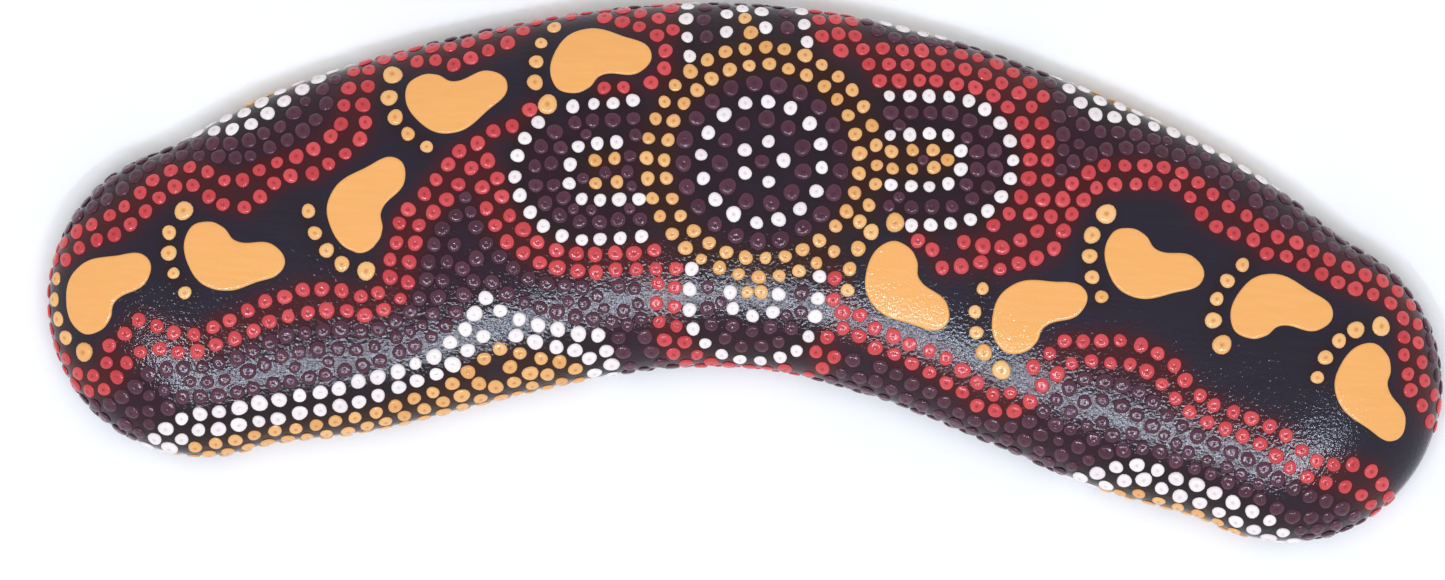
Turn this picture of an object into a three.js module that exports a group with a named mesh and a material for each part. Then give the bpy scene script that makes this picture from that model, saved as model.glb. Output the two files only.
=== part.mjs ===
// A carved wooden souvenir boomerang, painted with trails of footprints.
// Millimetres, +Z up. It lies on its flat underside: +X runs along the span,
// +Y points to the convex elbow, and the origin is the bottom centre of its box.

import * as THREE from 'three';
import { ParametricGeometry } from 'three/addons/geometries/ParametricGeometry.js';
import { mergeVertices } from 'three/addons/utils/BufferGeometryUtils.js';

// ---- driving dimensions ----
const SPAN = 300;                  // tip to tip
const THICKNESS = 18;
const ELBOW_HALF_WIDTH = 38.8;
const TIP_HALF_WIDTH = 33.2;       // also the radius of the round tips
const TAPER_POWER = 5;             // the arms keep their width until close to the tips
const ARM_SLOPE = THREE.MathUtils.degToRad(25.7);  // of each arm, away from the elbow
const ELBOW_LENGTH = 61.4;         // how gradually one arm turns into the other

// the rounded cross-section
const EQUATOR_HEIGHT = 6.5;        // the widest level
const CROWN_POWER = 2.4;           // 2 would be an ellipse, more is fuller
const UNDER_ROUND = 7.8;           // how far the edge turns in before the flat underside

// the paint: its film is drawn thicker than a brush lays it
const COAT_THICKNESS = 0.5;
const COAT_EDGE_HEIGHT = 0.8;      // the coat stops this far above the flat underside
const PRINT_THICKNESS = 0.6;
const GAP = 0.3;                   // between one solid and the next

// one footprint, from its middle: towards the toes, towards the big toe
const SOLE_OUTLINE = [
  [5.9, 7], [9.8, 5.2], [9.2, -3.4], [3.8, -7.5], [-4.6, -5.8],
  [-10.8, -2], [-8.6, 2.2], [0, 3.2], [2.4, 5.8],
];
const BIG_TOE_PLACE = [11.2, 9.4];
const BIG_TOE_RADIUS = 2.1;

// where each footprint lies on the unrolled face, measured from the elbow,
// which way its toes point (degrees from +X) and on which side the big toe is
const TRAILS = {
  left: [
    { x: -136.5, y: -33, toes: 212, side: 1 },
    { x: -110, y: -23.5, toes: 183, side: -1 },
    { x: -82, y: -10, toes: 232, side: 1 },
    { x: -65.5, y: 14.5, toes: 206, side: -1 },
    { x: -35.5, y: 24, toes: 184, side: 1 },
  ],
  right: [
    { x: 34, y: -19.5, toes: 147, side: -1 },
    { x: 62, y: -22.5, toes: 201, side: 1 },
    { x: 85.5, y: -10, toes: 178, side: -1 },
    { x: 113.5, y: -18, toes: 173, side: 1 },
    { x: 135, y: -34, toes: 130, side: -1 },
  ],
};

// mesh steps
const ARM_STEPS = 24;
const TIP_STEPS = 12;
const CROWN_STEPS = 10;
const UNDER_STEPS = 3;
const FLAT_STEPS = 2;
const SOLE_SIDES = 28;
const SOLE_RINGS = 3;
const TOE_SIDES = 10;

// ---- the plan: a bent spine with a half width ----
const SPINE_END = SPAN / 2 - TIP_HALF_WIDTH;
const EQUATOR_TO_TOP = THICKNESS - EQUATOR_HEIGHT;

function spineHeight(x) {
  return -Math.tan(ARM_SLOPE) * (Math.hypot(x, ELBOW_LENGTH) - ELBOW_LENGTH);
}

function spineSlope(x) {
  return -Math.tan(ARM_SLOPE) * x / Math.hypot(x, ELBOW_LENGTH);
}

function halfWidth(x) {
  const alongArm = Math.abs(x / SPINE_END) ** TAPER_POWER;
  const narrowing = (1 - Math.cos(Math.PI * alongArm)) / 2;
  return ELBOW_HALF_WIDTH + (TIP_HALF_WIDTH - ELBOW_HALF_WIDTH) * narrowing;
}

// the lowest point of the plan is on a tip, the highest is the elbow
const MIDDLE_Y = (ELBOW_HALF_WIDTH + spineHeight(SPINE_END) - TIP_HALF_WIDTH) / 2;

// a station is a place on the spine and a direction out to the edge
function station(x, direction) {
  return { x, y: spineHeight(x), direction, width: halfWidth(x) };
}

function stationsRoundTheEdge() {
  const stations = [];
  const normal = (x) => Math.atan(spineSlope(x)) + Math.PI / 2;
  const armX = (i) => SPINE_END * (2 * i / ARM_STEPS - 1);
  for (const side of [1, -1]) {
    const turn = side > 0 ? 0 : Math.PI;
    for (let i = 0; i < ARM_STEPS; i++) {
      const x = side * armX(i);
      stations.push(station(x, normal(x) + turn));
    }
    const end = side * SPINE_END;
    for (let i = 0; i < TIP_STEPS; i++) {
      stations.push(station(end, normal(end) + turn - Math.PI * i / TIP_STEPS));
    }
  }
  return stations;
}

// ---- the cross-section: angle 90 degrees is the crown, 0 the widest level ----
function sectionPoint(width, angle, outset) {
  const across = Math.abs(Math.cos(angle));
  const up = Math.abs(Math.sin(angle));
  if (angle >= 0) {
    return [
      (width + outset) * across ** (2 / CROWN_POWER),
      EQUATOR_HEIGHT + (EQUATOR_TO_TOP + outset) * up ** (2 / CROWN_POWER),
    ];
  }
  return [
    width - UNDER_ROUND + (UNDER_ROUND + outset) * across,
    EQUATOR_HEIGHT - (EQUATOR_HEIGHT + outset) * up,
  ];
}

// the coat reaches round to here, the wood behind it a little further
const COAT_END = -Math.asin(1 - COAT_EDGE_HEIGHT / EQUATOR_HEIGHT);
const REBATE_END = COAT_END - GAP / EQUATOR_HEIGHT;

function coveredSection(width, outset, end) {
  const points = [];
  for (let i = 0; i <= CROWN_STEPS; i++) {
    points.push(sectionPoint(width, Math.PI / 2 * (1 - i / CROWN_STEPS), outset));
  }
  points[0][0] = 0;
  for (let i = 1; i <= UNDER_STEPS; i++) {
    points.push(sectionPoint(width, end * i / UNDER_STEPS, outset));
  }
  return points;
}

function bodySection(width) {
  const points = coveredSection(width, -COAT_THICKNESS - GAP, REBATE_END);
  points.push(sectionPoint(width, REBATE_END, 0));
  for (let i = 0; i <= FLAT_STEPS; i++) {
    points.push([(width - UNDER_ROUND) * (1 - i / FLAT_STEPS), 0]);
  }
  return points;
}

function coatSection(width) {
  const outside = coveredSection(width, 0, COAT_END);
  const inside = coveredSection(width, -COAT_THICKNESS, COAT_END);
  return outside.concat(inside.reverse());
}

// ---- from surfaces to closed solids ----
function weld(geometry) {
  geometry.deleteAttribute('normal');
  geometry.deleteAttribute('uv');
  const welded = mergeVertices(geometry, 1e-4);
  const index = welded.index.array;
  const kept = [];
  for (let i = 0; i < index.length; i += 3) {
    const [a, b, c] = index.slice(i, i + 3);
    if (a !== b && b !== c && c !== a) {
      kept.push(a, b, c);
    }
  }
  welded.setIndex(kept);
  welded.computeVertexNormals();
  return welded;
}

// a section carried round the edge, station by station
function sweptSolid(section) {
  const stations = stationsRoundTheEdge();
  const rings = stations.map((place) => section(place.width));
  const across = rings[0].length - 1;
  const surface = (u, v, target) => {
    const i = Math.round((1 - v) * stations.length) % stations.length;
    const { x, y, direction } = stations[i];
    const [reach, height] = rings[i][Math.round(u * across)];
    target.set(
      x + reach * Math.cos(direction),
      y + reach * Math.sin(direction) - MIDDLE_Y,
      height,
    );
  };
  return weld(new ParametricGeometry(surface, across, stations.length));
}

// ---- laying paint on the crown ----
function nearestSpineX(x, y) {
  let low = -SPINE_END;
  let high = SPINE_END;
  for (let i = 0; i < 40; i++) {
    const middle = (low + high) / 2;
    const past = middle - x + (spineHeight(middle) - y) * spineSlope(middle);
    if (past > 0) {
      high = middle;
    } else {
      low = middle;
    }
  }
  return (low + high) / 2;
}

// the angle of the section that lies a given way down from the crown
function angleAfter(width, way) {
  const step = Math.PI / 360;
  let angle = Math.PI / 2;
  let left = way;
  let [reach, height] = sectionPoint(width, angle, 0);
  while (angle > COAT_END) {
    const next = sectionPoint(width, angle - step, 0);
    const piece = Math.hypot(next[0] - reach, next[1] - height);
    if (piece >= left) {
      return angle - step * left / piece;
    }
    left -= piece;
    angle -= step;
    [reach, height] = next;
  }
  return COAT_END;
}

// a point of the unrolled face, put on the crown and lifted off it
function onCrown(x, y, lift, target) {
  const footX = nearestSpineX(x, y);
  const footY = spineHeight(footX);
  const way = Math.hypot(x - footX, y - footY);
  const direction = Math.atan2(y - footY, x - footX);
  const width = halfWidth(footX);
  const [reach, height] = sectionPoint(width, angleAfter(width, way), lift);
  target.set(
    footX + reach * Math.cos(direction),
    footY + reach * Math.sin(direction) - MIDDLE_Y,
    height,
  );
}

// a lathe-turned disc whose rim is moved to an outline and laid on the crown
function blob(outline, rings, place) {
  const profile = [];
  for (let i = 0; i <= rings; i++) {
    profile.push(new THREE.Vector2(i / rings, 0));
  }
  for (let i = rings; i >= 0; i--) {
    profile.push(new THREE.Vector2(i / rings, 1));
  }
  const geometry = new THREE.LatheGeometry(profile, outline.length);
  const position = geometry.attributes.position;
  const point = new THREE.Vector3();
  for (let i = 0; i < position.count; i++) {
    point.fromBufferAttribute(position, i);
    const turn = Math.atan2(point.x, point.z) / (2 * Math.PI);
    const side = Math.round((turn + 1) * outline.length) % outline.length;
    const spread = Math.hypot(point.x, point.z);
    const lift = GAP + PRINT_THICKNESS * point.y;
    const [x, y] = place(outline[side], spread);
    onCrown(x, y, lift, point);
    position.setXYZ(i, point.x, point.y, point.z);
  }
  return weld(geometry);
}

// puts a point of a footprint's own outline, drawn in towards a centre, on the face
function placer(print, centre) {
  const toes = THREE.MathUtils.degToRad(print.toes);
  return ([forward, sideways], spread) => {
    const a = centre[0] + (forward - centre[0]) * spread;
    const b = (centre[1] + (sideways - centre[1]) * spread) * print.side;
    return [
      print.x + a * Math.cos(toes) - b * Math.sin(toes),
      print.y + a * Math.sin(toes) + b * Math.cos(toes),
    ];
  };
}

// the lathe turns one way round, so an outline seen in a mirror is reversed
function facing(outline, side) {
  return side > 0 ? outline : outline.slice().reverse();
}

function soleOutline() {
  const corners = SOLE_OUTLINE.map(([a, b]) => new THREE.Vector3(a, b, 0));
  const curve = new THREE.CatmullRomCurve3(corners, true);
  return curve.getSpacedPoints(SOLE_SIDES).slice(0, SOLE_SIDES).map((p) => [p.x, p.y]);
}

function toeOutline() {
  const points = [];
  for (let i = 0; i < TOE_SIDES; i++) {
    const angle = 2 * Math.PI * i / TOE_SIDES;
    points.push([
      BIG_TOE_PLACE[0] + BIG_TOE_RADIUS * Math.cos(angle),
      BIG_TOE_PLACE[1] + BIG_TOE_RADIUS * Math.sin(angle),
    ]);
  }
  return points;
}

function soleSolid(print) {
  return blob(facing(soleOutline().reverse(), print.side), SOLE_RINGS, placer(print, [0, 0]));
}

function toeSolid(print) {
  return blob(facing(toeOutline(), print.side), 1, placer(print, BIG_TOE_PLACE));
}

// ---- the finished object ----
const wood = { color: 0xb98a55, roughness: 0.45, metalness: 0 };
const groundPaint = { color: 0x2a2c38, roughness: 0.25, metalness: 0 };
const ochrePaint = { color: 0xf1af63, roughness: 0.3, metalness: 0 };

function part(name, geometry, look) {
  const mesh = new THREE.Mesh(geometry, new THREE.MeshStandardMaterial(look));
  mesh.name = name;
  return mesh;
}

const boomerang = new THREE.Group();
boomerang.add(part('wooden_body', sweptSolid(bodySection), wood));
boomerang.add(part('ground_coat', sweptSolid(coatSection), groundPaint));
for (const [trail, prints] of Object.entries(TRAILS)) {
  prints.forEach((print, i) => {
    boomerang.add(part(`sole_${trail}_${i + 1}`, soleSolid(print), ochrePaint));
    boomerang.add(part(`big_toe_${trail}_${i + 1}`, toeSolid(print), ochrePaint));
  });
}

export default boomerang;
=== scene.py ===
# %% [markdown]
# # A painted wooden boomerang
# This lesson makes the looks of a carved souvenir boomerang: one piece of pale hardwood, a
# blue-black ground coat, trails of ochre footprints, and some fifteen hundred raised dots of
# acrylic paint under a clear gloss varnish. The frame holds the plain solids at their true size.
# Every piece below is made in that same frame, so nothing is moved or fitted afterwards.

# %% Load the frame
import math
import bpy
import numpy as np
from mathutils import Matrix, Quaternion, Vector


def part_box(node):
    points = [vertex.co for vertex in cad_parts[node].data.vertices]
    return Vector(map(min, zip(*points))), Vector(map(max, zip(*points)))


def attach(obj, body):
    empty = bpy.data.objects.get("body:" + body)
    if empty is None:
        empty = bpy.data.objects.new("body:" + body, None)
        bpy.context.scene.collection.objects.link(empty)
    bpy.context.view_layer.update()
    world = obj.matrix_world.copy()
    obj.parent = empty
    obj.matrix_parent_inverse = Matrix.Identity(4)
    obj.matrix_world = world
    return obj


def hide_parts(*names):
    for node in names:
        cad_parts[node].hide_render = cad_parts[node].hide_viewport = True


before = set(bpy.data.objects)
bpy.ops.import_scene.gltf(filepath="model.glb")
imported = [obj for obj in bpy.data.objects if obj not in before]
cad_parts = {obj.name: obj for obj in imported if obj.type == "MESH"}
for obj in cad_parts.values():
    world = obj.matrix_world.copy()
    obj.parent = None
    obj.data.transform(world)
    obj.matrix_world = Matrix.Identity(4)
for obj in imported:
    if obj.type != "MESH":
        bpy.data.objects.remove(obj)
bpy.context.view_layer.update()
print("frame:", len(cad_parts), "solids")

# %% [markdown]
# ## The shape in numbers
# The plan is a bent spine with a half width on each side, and round tips. The cross-section is a
# fat superellipse above the widest level and a quarter ellipse below it. Working from these few
# numbers, rather than from a mesh, lets each dot ask exactly where the surface is and which way
# it faces. The numbers of the plan were fitted by another program and rounded; those of the
# thickness and the section were chosen. All lengths are millimetres until a mesh is made.

# %% Driving dimensions
MM = 0.001
SPAN = 300
THICKNESS = 18
ELBOW_HALF_WIDTH = 38.8
TIP_HALF_WIDTH = 33.2
TAPER_POWER = 5
ARM_SLOPE = math.radians(25.7)
ELBOW_LENGTH = 61.4
EQUATOR_HEIGHT = 6.5
CROWN_POWER = 2.4
UNDER_ROUND = 7.8
COAT_EDGE_HEIGHT = 0.8
SPINE_END = SPAN / 2 - TIP_HALF_WIDTH
print("spine reaches", SPINE_END, "mm each way from the elbow")


# %% Spine and half width
def spine_y(x):
    return -math.tan(ARM_SLOPE) * (np.hypot(x, ELBOW_LENGTH) - ELBOW_LENGTH)


def spine_slope(x):
    return -math.tan(ARM_SLOPE) * x / np.hypot(x, ELBOW_LENGTH)


def half_width(x):
    narrowing = (1 - np.cos(math.pi * np.abs(x / SPINE_END) ** TAPER_POWER)) / 2
    return ELBOW_HALF_WIDTH + (TIP_HALF_WIDTH - ELBOW_HALF_WIDTH) * narrowing


MIDDLE_Y = (ELBOW_HALF_WIDTH + spine_y(SPINE_END) - TIP_HALF_WIDTH) / 2
coat_low, coat_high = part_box("ground_coat")
print("span here", SPAN, "and in the frame", round((coat_high[0] - coat_low[0]) / MM, 1))


# %% Cross-section
def section(width, angle, outset=0.0):
    """Reach from the spine and height: 90 degrees is the crown, 0 the widest level."""
    across = np.abs(np.cos(angle))
    up = np.abs(np.sin(angle))
    crown = 2 / CROWN_POWER
    above = angle >= 0
    reach = np.where(above, (width + outset) * across ** crown,
                     width - UNDER_ROUND + (UNDER_ROUND + outset) * across)
    height = np.where(above, (THICKNESS - EQUATOR_HEIGHT + outset) * up ** crown,
                      -(EQUATOR_HEIGHT + outset) * up)
    return reach, EQUATOR_HEIGHT + height


def angle_at(height):
    """The angle below the widest level at which the section has this height."""
    return -math.asin(1 - height / EQUATOR_HEIGHT)


COAT_END = angle_at(COAT_EDGE_HEIGHT)
print("the coat ends", round(math.degrees(-COAT_END)), "degrees below the widest level")

# %% [markdown]
# ## The unrolled face
# A painter works over the edge and down the sides as if the skin were flat. So the painting is
# laid out on an unrolled plan: the distance from the spine is measured along the surface instead
# of straight across. `on_face` rolls a place on that plan back onto the wood.

# %% Way down the section
ANGLES = np.linspace(math.pi / 2, COAT_END, 181)
WIDTHS = np.linspace(TIP_HALF_WIDTH, ELBOW_HALF_WIDTH, 13)


def way_down(width):
    """How far each of ANGLES is from the crown, along the section."""
    reach, height = section(width, ANGLES)
    return np.concatenate([[0], np.cumsum(np.hypot(np.diff(reach), np.diff(height)))])


WAYS = np.array([way_down(width) for width in WIDTHS])


def face_width(width):
    return np.interp(width, WIDTHS, WAYS[:, -1])


def angle_after(width, way):
    """The section angle a given way down from the crown, between the two nearest WIDTHS."""
    place = np.clip((width - WIDTHS[0]) / (WIDTHS[1] - WIDTHS[0]), 0, len(WIDTHS) - 1.001)
    row = place.astype(int)
    angle = np.zeros_like(way)
    for k in np.unique(row):
        here = row == k
        low = np.interp(way[here], WAYS[k], ANGLES)
        high = np.interp(way[here], WAYS[k + 1], ANGLES)
        angle[here] = low + (high - low) * (place - row)[here]
    return angle


print("crown to coat edge at the elbow:", round(float(face_width(ELBOW_HALF_WIDTH)), 1), "mm")


# %% From the plan to the wood
def nearest_spine(places):
    """The x of the nearest point of the spine, and the arrow from it to each place."""
    low = np.full(len(places), -SPINE_END)
    high = np.full(len(places), SPINE_END)
    for _ in range(36):
        middle = (low + high) / 2
        past = middle - places[:, 0] + (spine_y(middle) - places[:, 1]) * spine_slope(middle)
        high = np.where(past > 0, middle, high)
        low = np.where(past > 0, low, middle)
    return low, places - np.stack([low, spine_y(low)], 1)


def on_face(places):
    """Places on the unrolled plan, put on the surface."""
    places = np.atleast_2d(np.asarray(places, float))
    foot, arrow = nearest_spine(places)
    way = np.hypot(arrow[:, 0], arrow[:, 1])
    width = half_width(foot)
    reach, height = section(width, angle_after(width, way))
    out = arrow / np.maximum(way, 1e-9)[:, None]
    x = foot + out[:, 0] * reach
    y = spine_y(foot) + out[:, 1] * reach - MIDDLE_Y
    return np.stack([x, y, height], 1)


def face_normals(places, step=0.05):
    along = on_face(places + [step, 0]) - on_face(places - [step, 0])
    across = on_face(places + [0, step]) - on_face(places - [0, step])
    normal = np.cross(along, across)
    return normal / np.linalg.norm(normal, axis=1)[:, None]


def room_to_rim(places):
    """How far each place is from the lower edge of the coat, along the surface."""
    foot, arrow = nearest_spine(places)
    return face_width(half_width(foot)) - np.hypot(arrow[:, 0], arrow[:, 1])


# %% [markdown]
# ## Meshes from points
# Blender's own mesh type takes lists of points and faces. One function makes an object of them,
# in metres, smooth shaded, with any per-point values that a material wants to read.

# %% A mesh from points and faces
def solid(name, points, faces, values=None):
    mesh = bpy.data.meshes.new(name)
    mesh.from_pydata((np.asarray(points) * MM).tolist(), [], faces)
    mesh.shade_smooth()
    for label, numbers in (values or {}).items():
        layer = mesh.attributes.new(label, "FLOAT", "POINT")
        layer.data.foreach_set("value", np.asarray(numbers, np.float32))
    mesh.update()
    piece = bpy.data.objects.new(name, mesh)
    bpy.context.scene.collection.objects.link(piece)
    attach(piece, "root")
    print(name, len(mesh.vertices), "points", len(mesh.polygons), "faces")
    return piece


# %% [markdown]
# ## The wood and its ground coat
# Both are the same cross-section carried round the edge, station by station. The crown of each
# section lies on the spine, so the two sides of an arm share those points and the skin is closed.
# A brushed coat is some 0.1 to 0.2 mm thick; it is made here as a thin shell over the wood, and
# its lower edge wanders a little, as a brushed edge does.

# %% Stations round the edge
ARM_STEPS = 150
TIP_STEPS = 72


def stations():
    """For each station: its x on the spine, the direction out, and which spine point it shares."""
    rows = []
    arm_x = np.linspace(-SPINE_END, SPINE_END, ARM_STEPS + 1)
    for side in (1, -1):
        turn = math.pi / 2 if side > 0 else 3 * math.pi / 2
        for i in range(ARM_STEPS):
            k = i if side > 0 else ARM_STEPS - i
            rows.append((arm_x[k], math.atan(spine_slope(arm_x[k])) + turn, k))
        k = ARM_STEPS if side > 0 else 0
        start = math.atan(spine_slope(arm_x[k])) + turn
        for i in range(TIP_STEPS):
            rows.append((arm_x[k], start - math.pi * i / TIP_STEPS, k))
    return rows[::-1]


STATIONS = stations()
print(len(STATIONS), "stations")


# %% Carry a section round the edge
def swept(name, section_at):
    """section_at(width, turn) gives reach and height, from the crown round to the last point."""
    points = []
    faces = []
    rings = []
    spine = {}
    for n, (x, direction, k) in enumerate(STATIONS):
        reach, height = section_at(half_width(x), 2 * math.pi * n / len(STATIONS))
        ring = []
        for i, (r, z) in enumerate(zip(reach, height)):
            key = (k, i)
            if i in (0, len(reach) - 1):
                if key not in spine:
                    spine[key] = len(points)
                    points.append((x, spine_y(x) - MIDDLE_Y, z))
                ring.append(spine[key])
            else:
                ring.append(len(points))
                points.append((x + r * math.cos(direction),
                               spine_y(x) + r * math.sin(direction) - MIDDLE_Y, z))
        rings.append(ring)
    for here, after in zip(rings, rings[1:] + rings[:1]):
        for i in range(len(here) - 1):
            corners = [here[i], here[i + 1], after[i + 1], after[i]]
            face = list(dict.fromkeys(corners))
            if len(face) > 2:
                faces.append(face)
    return solid(name, points, faces)


# %% Ground coat
COAT_THICKNESS = 0.16
CROWN_STEPS = 44
UNDER_STEPS = 12


def edge_wander(turn):
    """How much higher or lower the brushed edge is here, in millimetres."""
    waves = ((0.28, 9, 0), (0.2, 23, 1), (0.14, 57, 2))
    return sum(size * math.sin(times * turn + start) for size, times, start in waves)


def coat_section(width, turn):
    end = angle_at(COAT_EDGE_HEIGHT + 0.2 + edge_wander(turn))
    angles = np.concatenate([np.linspace(math.pi / 2, 0, CROWN_STEPS),
                             np.linspace(0, end, UNDER_STEPS)[1:]])
    outside = section(width, angles)
    inside = section(width, angles[::-1], -COAT_THICKNESS)
    reach = np.concatenate([outside[0], inside[0]])
    height = np.concatenate([outside[1], inside[1]])
    return reach, height


ground_coat = swept("ground_coat_paint", coat_section)
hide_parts("ground_coat")

# %% Wooden body
WOOD_INSET = COAT_THICKNESS + 0.03
FLAT_STEPS = 8


def wood_section(width, turn):
    angles = np.concatenate([np.linspace(math.pi / 2, 0, CROWN_STEPS),
                             np.linspace(0, -math.pi / 2, UNDER_STEPS)[1:]])
    reach, height = section(width, angles, -WOOD_INSET)
    height = np.where(angles < 0, EQUATOR_HEIGHT * (1 - np.abs(np.sin(angles))), height)
    flat = (width - UNDER_ROUND) * np.linspace(1, 0, FLAT_STEPS + 1)[1:]
    return np.concatenate([reach, flat]), np.concatenate([height, 0 * flat])


wooden_body = swept("carved_wooden_body", wood_section)
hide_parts("wooden_body")

# %% [markdown]
# ## Footprints
# Each print is a sole brushed on in thick ochre paint, with five toes dabbed in front of it. The
# outline is nine corners and a smooth closed curve, and the places repeat those of the solids.
# The paint stands proud with a rolled rim, because surface tension pulls a thick wet edge round.
# The corners, and the places and headings of the prints, are the rounded result of another
# program's fit. They weren't chosen by hand, as they should be in a lesson.

# %% Where the footprints are
SOLE_OUTLINE = [
    (5.9, 7), (9.8, 5.2), (9.2, -3.4), (3.8, -7.5), (-4.6, -5.8),
    (-10.8, -2), (-8.6, 2.2), (0, 3.2), (2.4, 5.8),
]
TOES = [  # to the toes, to the big toe, radius
    (11.2, 9.4, 2.1), (13.8, 4.6, 1.75), (13.9, 0.2, 1.65), (12.8, -4.2, 1.5), (10.2, -8.3, 1.4),
]
TRAILS = {
    "left": [(-136.5, -33, 212, 1), (-110, -23.5, 183, -1), (-82, -10, 232, 1),
             (-65.5, 14.5, 206, -1), (-35.5, 24, 184, 1)],
    "right": [(34, -19.5, 147, -1), (62, -22.5, 201, 1), (85.5, -10, 178, -1),
              (113.5, -18, 173, 1), (135, -34, 130, -1)],
}


def place_print(shape, mark):
    """A shape in a footprint's own plan (to the toes, to the big toe), put on the unrolled face."""
    x, y, heading, side = mark
    forward = np.array([math.cos(math.radians(heading)), math.sin(math.radians(heading))])
    sideways = np.array([-forward[1], forward[0]]) * side
    shape = np.atleast_2d(np.asarray(shape, float))
    return np.array([x, y]) + shape[:, :1] * forward + shape[:, 1:2] * sideways


# %% A smooth closed curve
def smooth_loop(corners, sides):
    """A curve through the corners, stepped evenly."""
    curve = bpy.data.curves.new("outline", "CURVE")
    spline = curve.splines.new("BEZIER")
    spline.bezier_points.add(len(corners) - 1)
    for point, (a, b) in zip(spline.bezier_points, corners):
        point.co = (a, b, 0)
        point.handle_left_type = point.handle_right_type = "AUTO"
    spline.use_cyclic_u = True
    spline.resolution_u = 24
    maker = bpy.data.objects.new("outline", curve)
    bpy.context.scene.collection.objects.link(maker)
    bpy.context.view_layer.update()
    line = maker.to_mesh()
    fine = np.array([v.co[:2] for v in line.vertices])
    bpy.data.objects.remove(maker)
    bpy.data.curves.remove(curve)
    fine = np.vstack([fine, fine[:1]])
    way = np.concatenate([[0], np.cumsum(np.hypot(*np.diff(fine, axis=0).T))])
    at = np.linspace(0, way[-1], sides, endpoint=False)
    return np.stack([np.interp(at, way, fine[:, k]) for k in (0, 1)], 1)


SOLE = smooth_loop(SOLE_OUTLINE, 110)
print("sole", np.ptp(SOLE, axis=0).round(1), "mm")

# %% Soles with a rolled rim
SOLE_RIM = [(0.0, -0.12), (0.0, 0.1), (0.08, 0.24), (0.22, 0.36), (0.45, 0.43), (0.8, 0.42)]
SOLE_FILL = [0.85, 0.68, 0.5, 0.32, 0.16]


def inset_loop(loop, inset):
    edge = np.roll(loop, -1, 0) - np.roll(loop, 1, 0)
    edge = edge / np.linalg.norm(edge, axis=1)[:, None]
    return loop + np.stack([edge[:, 1], -edge[:, 0]], 1) * inset


def sole_piece(name, mark):
    rings = [(inset_loop(SOLE, inset), lift) for inset, lift in SOLE_RIM]
    inner, top = rings[-1]
    rings += [(inner * share, top) for share in SOLE_FILL] + [(inner[:1] * 0, top)]
    points = []
    for shape, lift in rings:
        flat = on_face(place_print(shape, mark))
        normal = face_normals(place_print(shape, mark))
        points.append(flat + normal * lift)
    sides = len(SOLE)
    under = on_face(place_print([(0, 0)], mark)) - [[0, 0, 0.12]]
    points = np.vstack(points + [under])
    faces = []
    for ring in range(len(rings) - 2):
        for i in range(sides):
            j = (i + 1) % sides
            a, b = ring * sides, (ring + 1) * sides
            faces.append([a + i, b + i, b + j, a + j])
    last = (len(rings) - 2) * sides
    for i in range(sides):
        j = (i + 1) % sides
        faces.append([last + i, len(points) - 2, last + j])
        faces.append([j, len(points) - 1, i])
    if mark[3] < 0:
        faces = [face[::-1] for face in faces]
    return solid(name, points, faces)


soles = []
for trail, marks in TRAILS.items():
    for n, mark in enumerate(marks, 1):
        sole = sole_piece(f"sole_paint_{trail}_{n}", mark)
        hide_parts(f"sole_{trail}_{n}")
        soles.append(sole)

# %% [markdown]
# ## A chart for the painter
# Dot painting is built in rows: each row follows the edge of what is already there. To find such
# rows, a grid over the unrolled face holds, for every place, how far it is from a shape. A row is
# then a contour line of that grid, traced cell by cell, with dots at an even pitch along it.

# %% The grid
CELL = 0.8
CHART_X = np.arange(-170, 170 + CELL, CELL)
CHART_Y = np.arange(-92, 62 + CELL, CELL)
GRID = np.stack(np.meshgrid(CHART_X, CHART_Y), -1)
SHAPE = GRID.shape[:2]
RIM_ROOM = room_to_rim(GRID.reshape(-1, 2)).reshape(SHAPE)
print("chart", SHAPE)


def distance_to(places, reach):
    """How far every cell is from the nearest of these places, up to reach."""
    far = np.full(SHAPE, float(reach))
    span = int(reach / CELL) + 1
    for x, y in places:
        i = round((y - CHART_Y[0]) / CELL)
        j = round((x - CHART_X[0]) / CELL)
        rows = slice(max(i - span, 0), max(i + span + 1, 0))
        cols = slice(max(j - span, 0), max(j + span + 1, 0))
        part = GRID[rows, cols]
        away = np.hypot(part[..., 0] - x, part[..., 1] - y)
        far[rows, cols] = np.minimum(far[rows, cols], away)
    return far


def chart_value(field, place):
    """The chart's value at a place, between its four nearest cells."""
    x = min(max((place[0] - CHART_X[0]) / CELL, 0), SHAPE[1] - 1.001)
    y = min(max((place[1] - CHART_Y[0]) / CELL, 0), SHAPE[0] - 1.001)
    j, i = int(x), int(y)
    s, t = x - j, y - i
    low = field[i, j] * (1 - s) + field[i, j + 1] * s
    high = field[i + 1, j] * (1 - s) + field[i + 1, j + 1] * s
    return low * (1 - t) + high * t


# %% Contour lines
def crossings(field):
    """For each cell edge that a contour crosses: the edges it goes on to, and the place."""
    above = field > 0
    mixed = above[:-1, :-1].astype(int) + above[1:, :-1] + above[:-1, 1:] + above[1:, 1:]
    links = {}
    places = {}
    for i, j in zip(*np.nonzero((mixed > 0) & (mixed < 4))):
        corners = [(i, j), (i, j + 1), (i + 1, j + 1), (i + 1, j)]
        cut = []
        for a, b in zip(corners, corners[1:] + corners[:1]):
            if above[a] != above[b]:
                a, b = min(a, b), max(a, b)
                cut.append((a, b))
                share = field[a] / (field[a] - field[b])
                places[a, b] = GRID[a] + (GRID[b] - GRID[a]) * share
        for a, b in zip(cut[::2], cut[1::2]):
            links.setdefault(a, []).append(b)
            links.setdefault(b, []).append(a)
    return links, places


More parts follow.
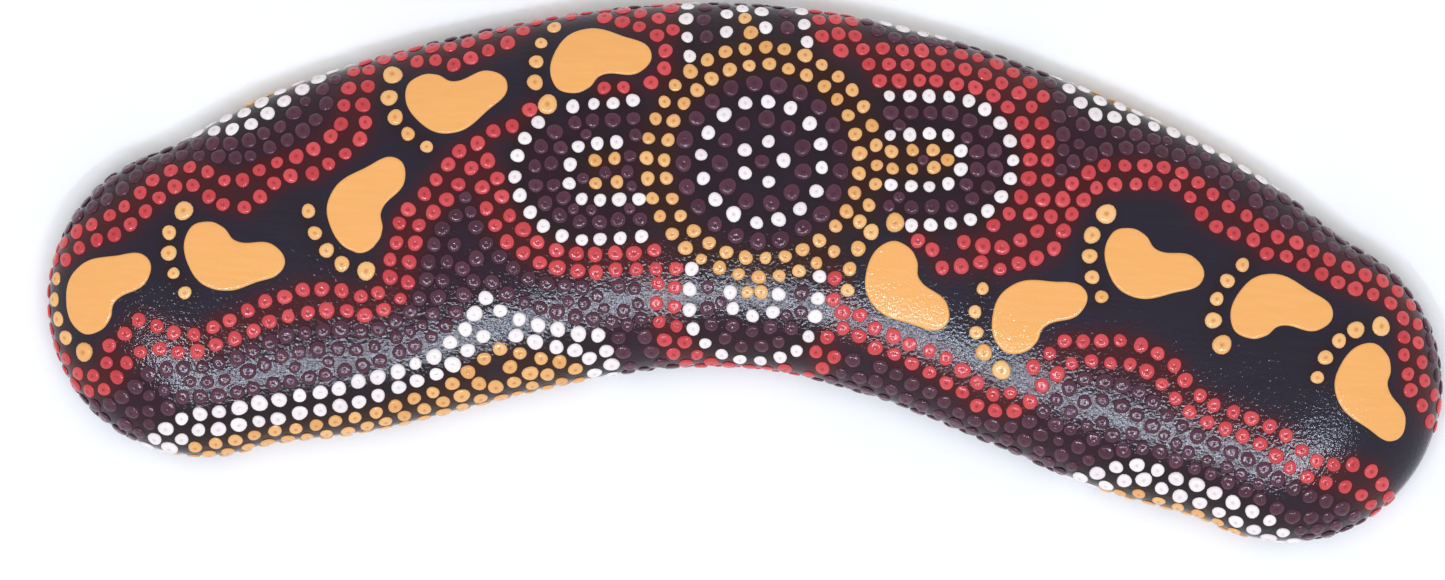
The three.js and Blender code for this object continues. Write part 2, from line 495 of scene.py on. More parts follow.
def contours(field, level):
    """The lines along which the field has this level, as arrays of places."""
    links, places = crossings(field - level + 1e-7)
    unused = dict.fromkeys(links)
    ends = [edge for edge in links if len(links[edge]) == 1]
    lines = []
    for start in ends + list(links):
        if start not in unused:
            continue
        line = [start]
        del unused[start]
        onward = start
        while onward is not None:
            onward = next((edge for edge in links[line[-1]] if edge in unused), None)
            if onward is not None:
                line.append(onward)
                del unused[onward]
        if len(line) > 3:
            if line[0] in links[line[-1]]:
                line.append(line[0])
            lines.append(np.array([places[edge] for edge in line]))
    return lines


# %% [markdown]
# ## Laying dots
# The painter never overlaps wet dots, so a dot is laid only where there is room for it, measured
# on the wood and not on the plan. The hand isn't a machine either: each dot is a little off its
# place and a little larger or smaller, from a seeded generator so that every run paints the same
# object.

# %% The painting
hand = np.random.default_rng(7)


class Painting:
    """The dots laid so far."""

    def __init__(self):
        self.places = []
        self.points = np.zeros((0, 3))
        self.radii = np.zeros(0)
        self.colours = []

    def dots(self, places, colour, radius, gap=0.2, wobble=0.15, allowed=None):
        """Lays a dot at each place that is allowed and is clear of the dots before it."""
        places = np.atleast_2d(places)
        places = places + hand.normal(0, wobble, places.shape)
        radii = radius * (1 + 0.06 * hand.normal(size=len(places)))
        room = room_to_rim(places)
        points = on_face(places)
        for place, point, size, rim in zip(places, points, radii, room):
            if rim < size + 0.5 or not (allowed is None or allowed(place)):
                continue
            away = np.linalg.norm(self.points - point, axis=1)
            if np.all(away > self.radii + size + gap):
                self.places.append(place)
                self.points = np.vstack([self.points, point])
                self.radii = np.append(self.radii, size)
                self.colours.append(colour)

    def row(self, line, colour, radius, pitch, **rules):
        """Lays dots at an even pitch along a line."""
        points = on_face(line)
        way = np.concatenate([[0], np.cumsum(np.linalg.norm(np.diff(points, axis=0), axis=1))])
        count = int(way[-1] / pitch)
        if count:
            closed = np.allclose(line[0], line[-1])
            at = np.linspace(0, way[-1], count if closed else count + 1, endpoint=not closed)
            places = np.stack([np.interp(at, way, line[:, k]) for k in (0, 1)], 1)
            self.dots(places, colour, radius, **rules)


painting = Painting()

# %% [markdown]
# ### Toes first
# The toes belong to the footprints, so they are laid before any other dot and the rest keeps
# clear of them. A big toe may touch its sole, which is why a toe's gap is below zero.

# %% Toes
for marks in TRAILS.values():
    for mark in marks:
        for a, b, size in TOES:
            painting.dots(place_print([(a, b)], mark), "toe", size, gap=-0.4, wobble=0.12)
print("toes", len(painting.colours))

# %% [markdown]
# ### The medallion and its petals
# The middle is a set of rings. Four U-shaped petals open out of it, each of nested rows, and the
# upper and lower ones run over the edge of the wood.

# %% Medallion
MEDALLION_CENTRE = np.array([0.6, 5.2])
MEDALLION_EDGE = 26.6
RINGS = [  # radius, dots, colour, dot radius
    (0, 1, "plum", 1.6), (4.5, 5, "white", 1.5), (9, 11, "plum", 1.75), (13, 16, "white", 1.5),
    (16.8, 21, "plum", 1.75), (20.8, 31, "ochre", 1.45), (24.6, 36, "ochre", 1.45),
]


def circle(centre, radius, count, start=0.0):
    turn = start + 2 * math.pi * np.arange(count) / count
    return np.asarray(centre) + radius * np.stack([np.cos(turn), np.sin(turn)], 1)


for radius, count, colour, size in RINGS:
    ring = circle(MEDALLION_CENTRE, radius, count, start=0.3 * radius)
    painting.dots(ring, colour, size, gap=0.02, wobble=0.12)
medallion_zone = np.hypot(*np.moveaxis(GRID - MEDALLION_CENTRE, -1, 0)) - MEDALLION_EDGE
print("medallion", len(painting.colours), "dots")

# %% Petals
PETAL_POWER = 2.1
PETALS = [  # degrees, distance of the bend, length beyond it, half width
    (5, 38, 15.5, 13.8), (188, 36.5, 16, 14.4), (101, 32, 14, 12.6), (271, 30.5, 13.5, 13.6),
]
PETAL_ROWS = [  # in from the side, in from the end, colour, dot radius
    (0, 0, "white", 1.42), (8.3, 11, "white", 1.42), (11.9, 14, "ochre", 1.38),
    (3.7, 3.7, "plum", 1.6), (7.1, 7.3, "plum", 1.5),
]


def petal_line(degrees, distance, length, half, side_inset, end_inset):
    """A U that opens towards the medallion."""
    out = np.array([math.cos(math.radians(degrees)), math.sin(math.radians(degrees))])
    side = np.array([-out[1], out[0]])
    turn = np.linspace(-math.pi / 2, math.pi / 2, 120)
    power = 2 / PETAL_POWER
    along = (length - end_inset) * np.cos(turn) ** power
    across = (half - side_inset) * np.sign(turn) * np.abs(np.sin(turn)) ** power
    along = np.concatenate([[-distance / 2], along, [-distance / 2]])
    across = np.concatenate([across[:1], across, across[-1:]])
    return MEDALLION_CENTRE + (distance + along)[:, None] * out + across[:, None] * side


def petal_field(degrees, distance, length, half):
    out = np.array([math.cos(math.radians(degrees)), math.sin(math.radians(degrees))])
    side = np.array([-out[1], out[0]])
    rel = GRID - MEDALLION_CENTRE - distance * out
    along = np.maximum(rel @ out, 0) / length
    across = np.abs(rel @ side) / half
    round_end = (along ** PETAL_POWER + across ** PETAL_POWER) ** (1 / PETAL_POWER)
    behind = np.maximum(-(rel @ out) - distance, 0)
    return (round_end - 1) * min(length, half) + behind


def off_medallion(place):
    return chart_value(medallion_zone, place) > 0.3


petal_zone = np.minimum.reduce([petal_field(*petal) for petal in PETALS])
for petal in PETALS:
    for side_inset, end_inset, colour, size in PETAL_ROWS:
        line = petal_line(*petal, side_inset, end_inset)
        painting.row(line, colour, size, 4.1, gap=0.02, allowed=off_medallion)
spare = GRID[(petal_zone < -2) & (medallion_zone > 1.5)]
painting.dots(spare, "plum", 1.35, gap=0.12)
flower_zone = np.minimum(petal_zone, medallion_zone)
print("with petals", len(painting.colours), "dots")

# %% [markdown]
# ### Trails
# The footprints keep a band of bare ground round them. Its edge is a soft blend of the distances
# to the prints, which bridges from one to the next like a walked path. A few more bare spots
# widen it where the path is broader than the prints. Later, two rows of red dots follow its edge.

# %% Bare ground
BARE = {  # x, y, radius: where the ground is left bare beyond the prints
    "left": [(-118, -32, 3), (-98, -14, 2)],
    "right": [(87, 0.5, 2.5), (87, -19, 3), (104, -29, 5), (115, -30, 5), (126, -41, 4),
              (151, -52, 7)],
}
sole_loops = [place_print(SOLE, mark) for marks in TRAILS.values() for mark in marks]
sole_distance = distance_to(np.vstack(sole_loops), 14)


def inside(place, loop):
    after = np.roll(loop, -1, 0)
    spans = (loop[:, 1] > place[1]) != (after[:, 1] > place[1])
    rise = np.where(after[:, 1] == loop[:, 1], 1, after[:, 1] - loop[:, 1])
    x = loop[:, 0] + (after[:, 0] - loop[:, 0]) * (place[1] - loop[:, 1]) / rise
    return np.count_nonzero(spans & (place[0] < x)) % 2 == 1


def off_soles(place, room=2.3):
    if chart_value(sole_distance, place) < room:
        return False
    return not any(inside(place, loop) for loop in sole_loops)


def trail_field(marks, bare, blend=4.5):
    """Soft distance to a trail: the prints' own distances, blended where they are alike."""
    total = np.zeros(SHAPE)
    for x, y, radius in bare:
        away = np.hypot(GRID[..., 0] - x, GRID[..., 1] - y) - radius
        total += np.exp(-np.minimum(away, 44) / blend)
    for mark in marks:
        outline = [place_print(SOLE[::3], mark)]
        outline += [place_print(circle((a, b), size, 8), mark) for a, b, size in TOES]
        total += np.exp(-distance_to(np.vstack(outline), 44) / blend)
    return -blend * np.log(total)


trail_zones = [trail_field(marks, BARE[trail]) for trail, marks in TRAILS.items()]
trail_zone = np.minimum.reduce(trail_zones)

# %% [markdown]
# ### Edge lenses
# Along the edges lie low arches: two white rows with ochre beneath, half on the crown and half on
# the side, so that the object is finished from every direction. An arch is given as heights above
# the lower edge of the coat. Its other coordinate runs along the edge, and on round the tip. The
# corners were read by eye, converted to this form by another program, and then adjusted.

# %% Lenses
LENSES = [  # side of the spine, then (along, height) corners
    (-1, [(-142, 2), (-138, 15), (-131, 21.5), (-110, 21), (-90, 22.5), (-74, 24.5), (-66, 29),
          (-62, 34.5), (-58, 29), (-50, 24.5), (-42, 21), (-38, 20.5), (-36.5, 2)]),
    (1, [(-118, 2), (-108, 9), (-102, 14), (-97, 16), (-90, 14), (-82, 10.5), (-70, 2)]),
    (-1, [(84, 2), (88, 11), (93, 17), (98, 20), (106, 18.5), (120, 17.5), (130, 15.5), (139, 2)]),
    (1, [(47, 2), (54, 12), (60, 16), (66, 13), (80, 10), (95, 10), (106, 2)]),
    (1, [(14, 2), (20, 10), (28, 9.5), (36, 2)]),
]
LENS_ROWS = [(0.1, "white", 1.6), (3.9, "white", 1.6)]
LENS_ROWS += [(3.9 + 3.5 * k, "ochre", 1.5) for k in range(1, 8)]
foot, arrow = nearest_spine(GRID.reshape(-1, 2))
lean = spine_slope(foot)
OUTWARD = (arrow[:, 1] - lean * arrow[:, 0]) / np.hypot(lean, 1)
ONWARD = (arrow[:, 0] + lean * arrow[:, 1]) / np.hypot(lean, 1)


def edge_place(along, side, way):
    """The place a given way from the spine, along an arm or on round the tip."""
    x = np.clip(along, -SPINE_END, SPINE_END)
    turn = (along - x) / TIP_HALF_WIDTH
    tangent = np.stack([np.ones_like(x), spine_slope(x)], 1) / np.hypot(spine_slope(x), 1)[:, None]
    normal = np.stack([-tangent[:, 1], tangent[:, 0]], 1)
    out = side * normal * np.cos(turn)[:, None] + tangent * np.sin(turn)[:, None]
    return np.stack([x, spine_y(x)], 1) + out * way[:, None]


def lens_field(side, corners):
    """Distance to the arch, counted below zero inside the lens."""
    at, height = np.array(corners).T
    along = np.linspace(at[0], at[-1], 300)
    arch = edge_place(along, side, face_width(half_width(np.clip(along, -SPINE_END, SPINE_END)))
                      - np.interp(along, at, height))
    here = foot + TIP_HALF_WIDTH * np.arctan2(ONWARD, side * OUTWARD)
    low = RIM_ROOM.reshape(-1) < np.interp(here, at, height, left=-99, right=-99)
    within = ((side * OUTWARD > 0) & low).reshape(SHAPE)
    away = distance_to(arch, 44)
    return np.where(within, -away, away)


def off_flower(place):
    return chart_value(flower_zone, place) > 0.6 and off_soles(place)


lens_zones = [lens_field(*lens) for lens in LENSES]
for zone in lens_zones:
    for inset, colour, size in LENS_ROWS:
        for line in contours(zone, -inset):
            painting.row(line, colour, size, 4.3, gap=0.08, allowed=off_flower)
lens_zone = np.minimum.reduce(lens_zones)
print("with lenses", len(painting.colours), "dots")

# %% [markdown]
# ### Red rows and the filling
# Red rows run beside each trail and round the petals, with a third row in the corner between two
# petals. What is left is filled with plum rows that follow the edges of all that came before, and
# with smaller plum dots wherever a row has left a hole.


# %% Red rows
def red_allowed(place):
    return (chart_value(flower_zone, place) > 1.2 and chart_value(lens_zone, place) > 1.6
            and off_soles(place))


def petal_red_allowed(place):
    return (chart_value(medallion_zone, place) > 1.5 and chart_value(lens_zone, place) > 1.6
            and chart_value(trail_zone, place) > 3 and off_soles(place))


def beside_petal(place):
    return (chart_value(medallion_zone, place) > 1.5 and chart_value(lens_zone, place) > 1.6
            and off_soles(place, 1.8))


def upper_corner(place):
    right, up = place - MEDALLION_CENTRE
    return right > 10 and up > 19 and petal_red_allowed(place)


RED_LEVELS = (3.3, 6.9, 10.5)
RED_RADIUS = 1.54
RED_PITCH = 4.15
TIGHT_GAP = 0.08
for zone in trail_zones:
    for level in RED_LEVELS[:2]:
        for line in contours(zone, level):
            painting.row(line, "red", RED_RADIUS, RED_PITCH, gap=TIGHT_GAP, allowed=red_allowed)
for level, allowed in zip(RED_LEVELS, (beside_petal, petal_red_allowed, upper_corner)):
    for line in contours(petal_zone, level):
        painting.row(line, "red", RED_RADIUS, RED_PITCH, gap=TIGHT_GAP, allowed=allowed)
print("with red rows", len(painting.colours), "dots")

# %% Plum rows fill the rest
ROW_SPACING = 3.5
ROW_COUNT = 13
LAST_RED = RED_LEVELS[1]
fill_zone = np.minimum.reduce([petal_zone - LAST_RED, medallion_zone + 1.5, lens_zone,
                               trail_zone - LAST_RED])
for n in range(1, ROW_COUNT + 1):
    for line in contours(fill_zone, ROW_SPACING * n):
        painting.row(line, "plum", 1.64, 3.9, gap=TIGHT_GAP, allowed=off_soles)
painting.dots(GRID[fill_zone > 2.2], "plum", 1.4, gap=0.15, allowed=off_soles)
print("all", len(painting.colours), "dots:",
      {c: painting.colours.count(c) for c in sorted(set(painting.colours))})

# %% [markdown]
# ### From dots to raised paint
# A dot put down with the end of a stick spreads to a low dome, and the stick leaves a small pit
# as it lifts. The dome is a profile turned round the surface normal, with a slightly uneven
# outline. All dots of a colour are one object; each is a closed shape sunk a little into the
# coat.

# %% Dome profile
DOME = [  # share of the radius, share of the height
    (1, -0.3), (1.01, 0.1), (0.95, 0.42), (0.82, 0.74), (0.62, 0.93), (0.42, 1), (0.24, 0.98),
    (0.12, 0.9), (0, 0.85),
]
DOME_SIDES = 14
DOT_HEIGHT = 0.3


def dot_mesh(name, chosen):
    places = np.array([painting.places[i] for i in chosen])
    centre = painting.points[chosen]
    radius = painting.radii[chosen]
    normal = face_normals(places)
    first = np.cross(normal, [0.0, 1.0, 0.0])
    first = first / np.linalg.norm(first, axis=1)[:, None]
    second = np.cross(normal, first)
    turn = 2 * math.pi * np.arange(DOME_SIDES) / DOME_SIDES
    lobes = hand.uniform(0, 2 * math.pi, (2, len(chosen), 1))
    uneven = 1 + 0.045 * np.sin(2 * turn + lobes[0]) + 0.03 * np.sin(3 * turn + lobes[1])
    height = radius * DOT_HEIGHT * (1 + 0.12 * hand.normal(size=len(chosen)))
    shade = hand.normal(size=len(chosen)).clip(-2, 2) / 2
    points = []
    rise = []
    for share, up in DOME[:-1]:
        out = (radius[:, None] * uneven * share)[..., None]
        flat = np.cos(turn)[:, None] * first[:, None] + np.sin(turn)[:, None] * second[:, None]
        points.append(centre[:, None] + flat * out + normal[:, None] * (height * up)[:, None, None])
        rise.append(np.full((len(chosen), DOME_SIDES), 1 - share))
    for up in (DOME[-1][1], DOME[0][1]):
        points.append((centre + normal * (height * up)[:, None])[:, None])
        rise.append(np.full((len(chosen), 1), 1.0))
    points = np.concatenate(points, 1)
    rise = np.concatenate(rise, 1)
    per_dot = points.shape[1]
    faces = dome_faces(per_dot)
    every = [[corner + per_dot * k for corner in face]
             for k in range(len(chosen)) for face in faces]
    values = {"rise": rise.ravel(), "shade": np.repeat(shade, per_dot)}
    return solid(name, points.reshape(-1, 3), every, values)


def dome_faces(per_dot):
    faces = []
    rings = len(DOME) - 1
    for i in range(DOME_SIDES):
        j = (i + 1) % DOME_SIDES
        for ring in range(rings - 1):
            a, b = ring * DOME_SIDES, (ring + 1) * DOME_SIDES
            faces.append([a + j, b + j, b + i, a + i])
        last = (rings - 1) * DOME_SIDES
        faces.append([last + j, per_dot - 2, last + i])
        faces.append([i, per_dot - 1, j])
    return faces


# %% Dots of each colour
def dots_of(colour):
    return [i for i, c in enumerate(painting.colours) if c == colour]


dot_pieces = {}
for colour in ("red", "plum", "white", "ochre"):
    piece = dot_mesh(f"{colour}_dots", dots_of(colour))
    dot_pieces[colour] = piece

# %% Toes of each footprint
toe_order = dots_of("toe")
for trail, marks in TRAILS.items():
    for n, mark in enumerate(marks, 1):
        spots = place_print([(a, b) for a, b, size in TOES], mark)
        own = [i for i in toe_order if np.min(np.hypot(*(spots - painting.places[i]).T)) < 1]
        toes = dot_mesh(f"toes_{trail}_{n}", own)
        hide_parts(f"big_toe_{trail}_{n}")
        dot_pieces[f"toes_{trail}_{n}"] = toes

# %% [markdown]
# ## Paint, varnish and wood
# Everything is acrylic paint or wood under one gloss varnish. Acrylic has an index of refraction
# near 1.49, and the varnish is a clear coat over it of almost the same index, so hardly any light
# is mirrored where the two meet. Brushed varnish is never flat: its coat is a little rough and
# finely bumpy, and that is what breaks a long light's reflection into a soft, grainy band.

# %% Colours and nodes
def linear(text):
    """An sRGB hex colour as Blender's linear colour."""
    parts = [int(text[i:i + 2], 16) / 255 for i in (1, 3, 5)]
    return [c / 12.92 if c <= 0.04045 else ((c + 0.055) / 1.055) ** 2.4 for c in parts] + [1]


def add(material, kind, inputs=None, **settings):
    """Adds a node. An input is a value, or another node's output to link."""
    made = material.node_tree.nodes.new("ShaderNode" + kind)
    for name, value in settings.items():
        setattr(made, name, value)
    for name, value in (inputs or {}).items():
        if isinstance(value, bpy.types.NodeSocket):
            material.node_tree.links.new(value, made.inputs[name])
        else:
            made.inputs[name].default_value = value
    return made


def new_material(name):
    material = bpy.data.materials.new(name)
    material.use_nodes = True
    material.node_tree.nodes.clear()
    return material


def finish_material(material, surface):
    add(material, "OutputMaterial", {"Surface": surface.outputs["BSDF"]})
    print("material", material.name, len(material.node_tree.nodes), "nodes")
    return material


ACRYLIC_IOR = 1.49
UNDER_VARNISH = 0.05
VARNISH_IOR = 1.5
VARNISH_ROUGHNESS = 0.09


# %% Varnish over everything
def varnish_bump(material, below=None):
    """Brushed varnish: ripples about 4 mm across, and a fine orange peel of 0.7 mm."""
    place = add(material, "TexCoord").outputs["Object"]
    ripple = add(material, "TexNoise", {"Vector": place, "Scale": 1 / (4 * MM), "Detail": 1})
    peel = add(material, "TexNoise", {"Vector": place, "Scale": 1 / (0.7 * MM), "Detail": 2})
    soft = add(material, "Bump", {"Height": ripple.outputs["Fac"], "Strength": 1.0,
                                  "Distance": 0.05 * MM})
    inputs = {"Height": peel.outputs["Fac"], "Strength": 1.0, "Distance": 0.085 * MM,
              "Normal": soft.outputs["Normal"]}
    if below is not None:
        material.node_tree.links.new(below, soft.inputs["Normal"])
    return add(material, "Bump", inputs).outputs["Normal"]


# %% [markdown]
# ### Ground paint and its stains
# The bare ground is a blue-black acrylic, brushed along the arms. A dot dabbed on as thin paint
# can let a little of its colour creep into the ground round it, and warm the dark between the
# dots. That the real one has such a stain is a guess. The stain needs the dots' places, so it is
# worked out here and kept as values on the corners of the coat.

# %% Stain between the dots
STAIN_REACH = 2.5
STAINS = {
    "red": "#4C191C", "plum": "#311A24", "ochre": "#361E18", "toe": "#2B1E20", "white": "#241B1D",
}


def stain_ground(coat):
    """Each dot's colour thins out into the ground round it, kept on the coat's corners."""
    corners = np.array([corner.co for corner in coat.data.vertices]) / MM
    tones = np.array([linear(STAINS[colour])[:3] for colour in painting.colours])
    total = np.zeros(len(corners))
    tint = np.zeros((len(corners), 3))
    for start in range(0, len(corners), 2000):
        part = slice(start, start + 2000)
        square = ((corners[part, None] - painting.points[None]) ** 2).sum(2)
        weight = np.exp(-square / STAIN_REACH ** 2)
        total[part] = weight.sum(1)
        tint[part] = weight @ tones
    tint /= np.maximum(total, 1e-6)[:, None]
    stain = coat.data.attributes.new("stain", "FLOAT_COLOR", "POINT")
    stain.data.foreach_set("color", np.column_stack([tint, np.ones(len(tint))]).ravel())
    strength = coat.data.attributes.new("stain_strength", "FLOAT", "POINT")
    strength.data.foreach_set("value", np.minimum(total / 1.2, 1))
    print("stained", round(float(np.mean(total > 0.6)) * 100), "% of the ground")


stain_ground(ground_coat)

# %% Ground paint
def brushed_ground_paint():
    """Blue-black acrylic brushed along the arms: faint streaks 0.8 mm wide and 12 mm long."""
    material = new_material("brushed_blue_black_acrylic")
    place = add(material, "TexCoord").outputs["Object"]
    along = add(material, "Mapping", {"Vector": place, "Scale": (1 / 12, 1, 1)})
    streaks = add(material, "TexNoise", {"Vector": along.outputs["Vector"], "Scale": 1 / (0.8 * MM),
                                         "Detail": 3, "Roughness": 0.6})
    patches = add(material, "TexNoise", {"Vector": place, "Scale": 1 / (22 * MM), "Detail": 2})
    mixed = add(material, "Mix", {"Factor": streaks.outputs["Fac"], "A": linear("#221E27"),
                                  "B": linear("#322C39")}, data_type="RGBA")
    tint = add(material, "Mix", {"Factor": patches.outputs["Fac"], "B": linear("#292532")},
               data_type="RGBA")
    material.node_tree.links.new(mixed.outputs["Result"], tint.inputs["A"])
    stain = add(material, "Attribute", attribute_name="stain").outputs["Color"]
    strength = add(material, "Attribute", attribute_name="stain_strength").outputs["Fac"]
    ground = add(material, "Mix", {"Factor": strength, "A": tint.outputs["Result"], "B": stain},
                 data_type="RGBA")
    relief = add(material, "Bump", {"Height": streaks.outputs["Fac"], "Strength": 0.6,
                                    "Distance": 0.03 * MM})
    normal = varnish_bump(material, relief.outputs["Normal"])
    shader = add(material, "BsdfPrincipled", {
        "Base Color": ground.outputs["Result"], "Roughness": 0.45, "IOR": ACRYLIC_IOR,
        "Specular IOR Level": UNDER_VARNISH, "Normal": normal, "Coat Weight": 1.0,
        "Coat Roughness": VARNISH_ROUGHNESS, "Coat IOR": VARNISH_IOR, "Coat Normal": normal})
    return finish_material(material, shader)


ground_coat.data.materials.append(brushed_ground_paint())


# %% Raised dots
def raised_acrylic(name, light, dark, pit):
    """A dabbed acrylic dot: each a little lighter or darker, and darker over its middle round the
    pit.
    """
    material = new_material(name)
    shade = add(material, "Attribute", attribute_name="shade").outputs["Fac"]
    rise = add(material, "Attribute", attribute_name="rise").outputs["Fac"]
    place = add(material, "TexCoord").outputs["Object"]
    cloud = add(material, "TexNoise", {"Vector": place, "Scale": 1 / (0.9 * MM), "Detail": 2})
    share = add(material, "Math", {0: shade, 1: 0.35, 2: 0.5}, operation="MULTIPLY_ADD")
    speckle = add(material, "Math", {0: cloud.outputs["Fac"], 1: 0.5}, operation="MULTIPLY_ADD")
    material.node_tree.links.new(share.outputs["Value"], speckle.inputs[2])
    lifted = add(material, "Math", {0: speckle.outputs["Value"], 1: 0.25}, operation="SUBTRACT",
                 use_clamp=True)
    body = add(material, "Mix", {"Factor": lifted.outputs["Value"], "A": linear(dark),
                                 "B": linear(light)}, data_type="RGBA")
    # The middle of each dot, round its pit, is given a darker colour.
    middle = add(material, "MapRange", {"Value": rise, "From Min": 0.62, "From Max": 0.92})
    paint = add(material, "Mix", {"Factor": middle.outputs["Result"], "B": linear(pit)},
                data_type="RGBA")
    material.node_tree.links.new(body.outputs["Result"], paint.inputs["A"])
    normal = varnish_bump(material)
    shader = add(material, "BsdfPrincipled", {
        "Base Color": paint.outputs["Result"], "Roughness": 0.4, "IOR": ACRYLIC_IOR,
        "Specular IOR Level": UNDER_VARNISH, "Normal": normal, "Coat Weight": 1.0,
        "Coat Roughness": VARNISH_ROUGHNESS, "Coat IOR": VARNISH_IOR, "Coat Normal": normal})
    return finish_material(material, shader)


PAINTS = {
    "red": ("dabbed_red_acrylic", "#DC565A", "#C03B41", "#A93037"),
    "plum": ("dabbed_plum_acrylic", "#5F3847", "#4A2A36", "#4A2A35"),
    "white": ("dabbed_white_acrylic", "#FBF3F1", "#EADFDE", "#DACDCD"),
    "ochre": ("dabbed_ochre_acrylic", "#F3BE80", "#E0A15E", "#CF8646"),
}
for colour, looks in PAINTS.items():
    dot_pieces[colour].data.materials.append(raised_acrylic(*looks))
toe_paint = raised_acrylic("dabbed_toe_acrylic", "#F7C485", "#EAA964", "#D88E48")
for name, piece in dot_pieces.items():
    if name.startswith("toes"):
        piece.data.materials.append(toe_paint)


# %% Brushed soles
def brushed_ochre_paint():
    """Thick ochre acrylic: long brush marks about 1 mm wide, and cloudy mixing 8 mm across."""
    material = new_material("brushed_ochre_acrylic")
    place = add(material, "TexCoord").outputs["Object"]
    along = add(material, "Mapping", {"Vector": place, "Scale": (1 / 9, 1, 1),
                                      "Rotation": (0, 0, math.radians(-12))})
    strokes = add(material, "TexNoise", {"Vector": along.outputs["Vector"], "Scale": 1 / (1.1 * MM),
                                         "Detail": 3, "Roughness": 0.55})
    clouds = add(material, "TexNoise", {"Vector": place, "Scale": 1 / (8 * MM), "Detail": 2})
    mixed = add(material, "Mix", {"Factor": strokes.outputs["Fac"], "A": linear("#E9A350"),
                                  "B": linear("#F8BC73")}, data_type="RGBA")
    tint = add(material, "Mix", {"Factor": clouds.outputs["Fac"], "B": linear("#F3AE68")},
               data_type="RGBA")
    material.node_tree.links.new(mixed.outputs["Result"], tint.inputs["A"])
    relief = add(material, "Bump", {"Height": strokes.outputs["Fac"], "Strength": 0.8,
                                    "Distance": 0.03 * MM})
    normal = varnish_bump(material, relief.outputs["Normal"])
    shader = add(material, "BsdfPrincipled", {
        "Base Color": tint.outputs["Result"], "Roughness": 0.42, "IOR": ACRYLIC_IOR,
        "Specular IOR Level": UNDER_VARNISH, "Normal": normal, "Coat Weight": 1.0,
        "Coat Roughness": VARNISH_ROUGHNESS, "Coat IOR": VARNISH_IOR, "Coat Normal": normal})
    return finish_material(material, shader)


sole_paint = brushed_ochre_paint()
for sole in soles:
    sole.data.materials.append(sole_paint)


# %% Varnished wood
def varnished_hardwood():
    """Pale hardwood, flat sawn along the span: growth bands 4 mm apart, pores 0.25 mm wide."""
    material = new_material("varnished_pale_hardwood")
    place = add(material, "TexCoord").outputs["Object"]
    along = add(material, "Mapping", {"Vector": place, "Scale": (0.06, 1, 1)})
    warp = add(material, "TexNoise", {"Vector": along.outputs["Vector"], "Scale": 1 / (16 * MM),
                                      "Detail": 3})
    wavy = add(material, "MixRGB", {"Fac": 0.012, "Color1": along.outputs["Vector"],
                                    "Color2": warp.outputs["Color"]}, blend_type="ADD")
    bands = add(material, "TexWave", {"Vector": wavy.outputs["Color"], "Scale": 0.314 / (4 * MM),
                                      "Distortion": 1.5, "Detail": 2}, bands_direction="Y")
    fibres = add(material, "TexNoise", {"Vector": along.outputs["Vector"], "Scale": 1 / (0.25 * MM),
                                        "Detail": 2})
    colour = add(material, "Mix", {"Factor": bands.outputs["Fac"], "A": linear("#B5804A"),
                                   "B": linear("#D3A56C")}, data_type="RGBA")
    pores = add(material, "MapRange", {"Value": fibres.outputs["Fac"], "From Min": 0.3,
                                       "From Max": 0.46, "To Min": 0.55, "To Max": 1})
    grain = add(material, "Mix", {"Factor": 1.0, "B": pores.outputs["Result"]}, data_type="RGBA",
                blend_type="MULTIPLY")
    material.node_tree.links.new(colour.outputs["Result"], grain.inputs["A"])
    relief = add(material, "Bump", {"Height": fibres.outputs["Fac"], "Strength": 0.6,
                                    "Distance": 0.05 * MM})
    normal = varnish_bump(material, relief.outputs["Normal"])
    shader = add(material, "BsdfPrincipled", {
        "Base Color": grain.outputs["Result"], "Roughness": 0.5, "IOR": 1.53,
        "Specular IOR Level": UNDER_VARNISH, "Normal": normal, "Coat Weight": 0.8,
        "Coat Roughness": VARNISH_ROUGHNESS, "Coat IOR": VARNISH_IOR, "Coat Normal": normal})
    return finish_material(material, shader)


wooden_body.data.materials.append(varnished_hardwood())

# %% [markdown]
# ## Studio
# A pale floor lies under a weak sky, darkest straight above, and a broad fill from overhead. The
# gloss would mirror the fill as a grey veil over the dark paint, so the fill is hidden from
# reflections, as a polarising filter does in a studio. Three narrow soft boxes on the concave
# side are what the gloss shows: their reflections lie as a band along the lower flank of both
# arms.

# %% Floor
bpy.ops.mesh.primitive_circle_add(vertices=128, radius=6, fill_type="NGON")
floor = bpy.context.active_object
floor.name = "floor"
floor_paper = new_material("pale_floor_paper")
paper_grain = add(floor_paper, "TexNoise", {"Scale": 1 / (3 * MM), "Detail": 2})
paper_tone = add(floor_paper, "Mix", {"Factor": paper_grain.outputs["Fac"], "A": linear("#F7F7F7"),
                                      "B": linear("#FAFAFA")}, data_type="RGBA")
finish_material(floor_paper, add(floor_paper, "BsdfPrincipled", {
    "Base Color": paper_tone.outputs["Result"], "Roughness": 0.9}))
floor.data.materials.append(floor_paper)

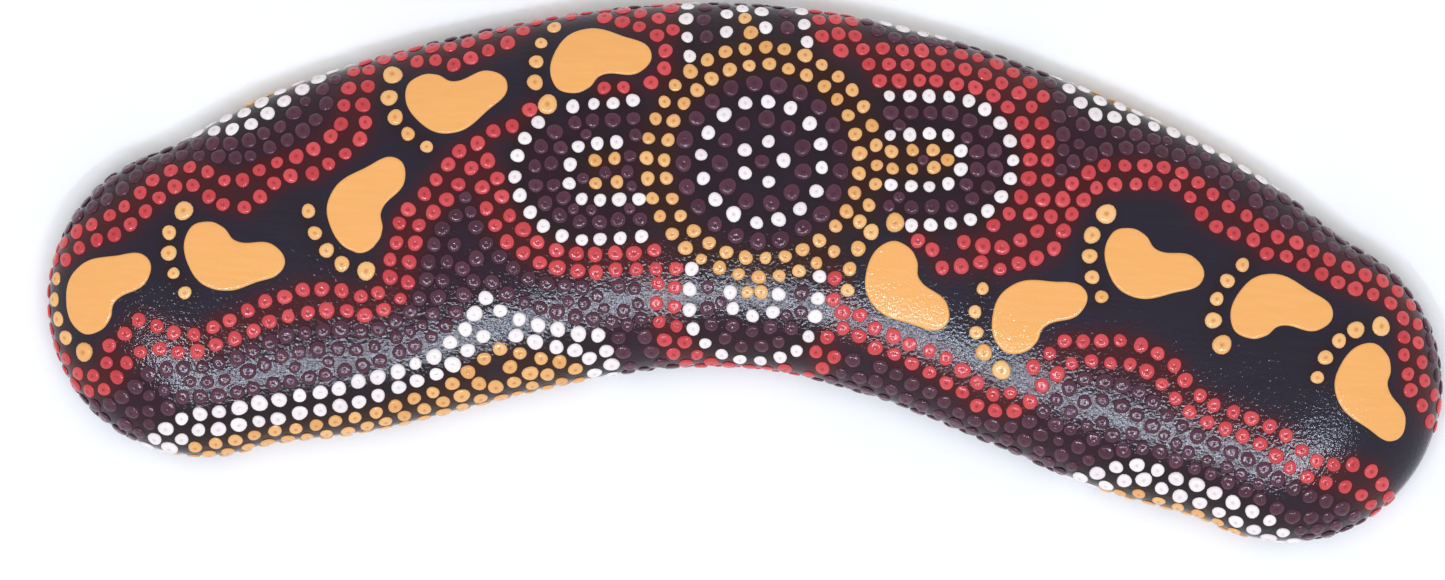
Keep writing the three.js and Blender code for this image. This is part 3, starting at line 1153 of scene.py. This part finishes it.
# %% Sky and lights
world = bpy.data.worlds.new("studio")
world.use_nodes = True
world.node_tree.nodes.clear()
direction = add(world, "TexCoord").outputs["Generated"]
height = add(world, "SeparateXYZ", {"Vector": direction}).outputs["Z"]
glow = add(world, "MapRange", {"Value": height, "From Min": 0.95, "From Max": 0,
                               "To Min": 0.12, "To Max": 0.8})
sky = add(world, "Background", {"Color": linear("#FFFFFF"), "Strength": glow.outputs["Result"]})
add(world, "OutputWorld", {"Surface": sky.outputs["Background"]})
bpy.context.scene.world = world


def soft_box(name, place, size, watts, turn=0):
    """A rectangular light aimed at the object, and turned about its own axis."""
    lamp = bpy.data.lights.new(name, "AREA")
    lamp.shape = "RECTANGLE"
    lamp.size, lamp.size_y = size
    lamp.energy = watts
    lamp.color = linear("#E2ECFF")[:3]
    light = bpy.data.objects.new(name, lamp)
    light.location = place
    aim = (-light.location).to_track_quat("-Z", "Y")
    light.rotation_euler = (aim @ Quaternion((0, 0, 1), math.radians(turn))).to_euler()
    bpy.context.scene.collection.objects.link(light)


FILL_STRENGTH = 1.42
overhead_lamp = bpy.data.lights.new("overhead_fill", "SUN")
overhead_lamp.energy = FILL_STRENGTH
overhead_lamp.angle = math.radians(70)
overhead_fill = bpy.data.objects.new("overhead_fill", overhead_lamp)
overhead_fill.visible_glossy = False
bpy.context.scene.collection.objects.link(overhead_fill)
soft_box("middle_soft_box", (0, -0.42, 1.1), (0.24, 0.05), 1.5)
soft_box("left_soft_box", (-0.28, -0.375, 1.1), (0.4, 0.05), 2.6, turn=-15)
soft_box("right_soft_box", (0.28, -0.385, 1.1), (0.4, 0.05), 2.6, turn=8)

# %% Camera
FRAME_WIDTH = 311
CAMERA_DISTANCE = 1100
CAMERA_AIM = (-5.7, -8.6)
CAMERA_ROLL = math.radians(4.5)
camera = bpy.data.objects.new("camera", bpy.data.cameras.new("camera"))
camera.location = (CAMERA_AIM[0] * MM, CAMERA_AIM[1] * MM, (CAMERA_DISTANCE + EQUATOR_HEIGHT) * MM)
camera.rotation_euler = (0, 0, CAMERA_ROLL)
camera.data.lens = camera.data.sensor_width * CAMERA_DISTANCE / FRAME_WIDTH
bpy.context.scene.collection.objects.link(camera)
bpy.context.scene.camera = camera
bpy.context.scene.view_settings.view_transform = "Standard"
print("lens", round(camera.data.lens), "mm")
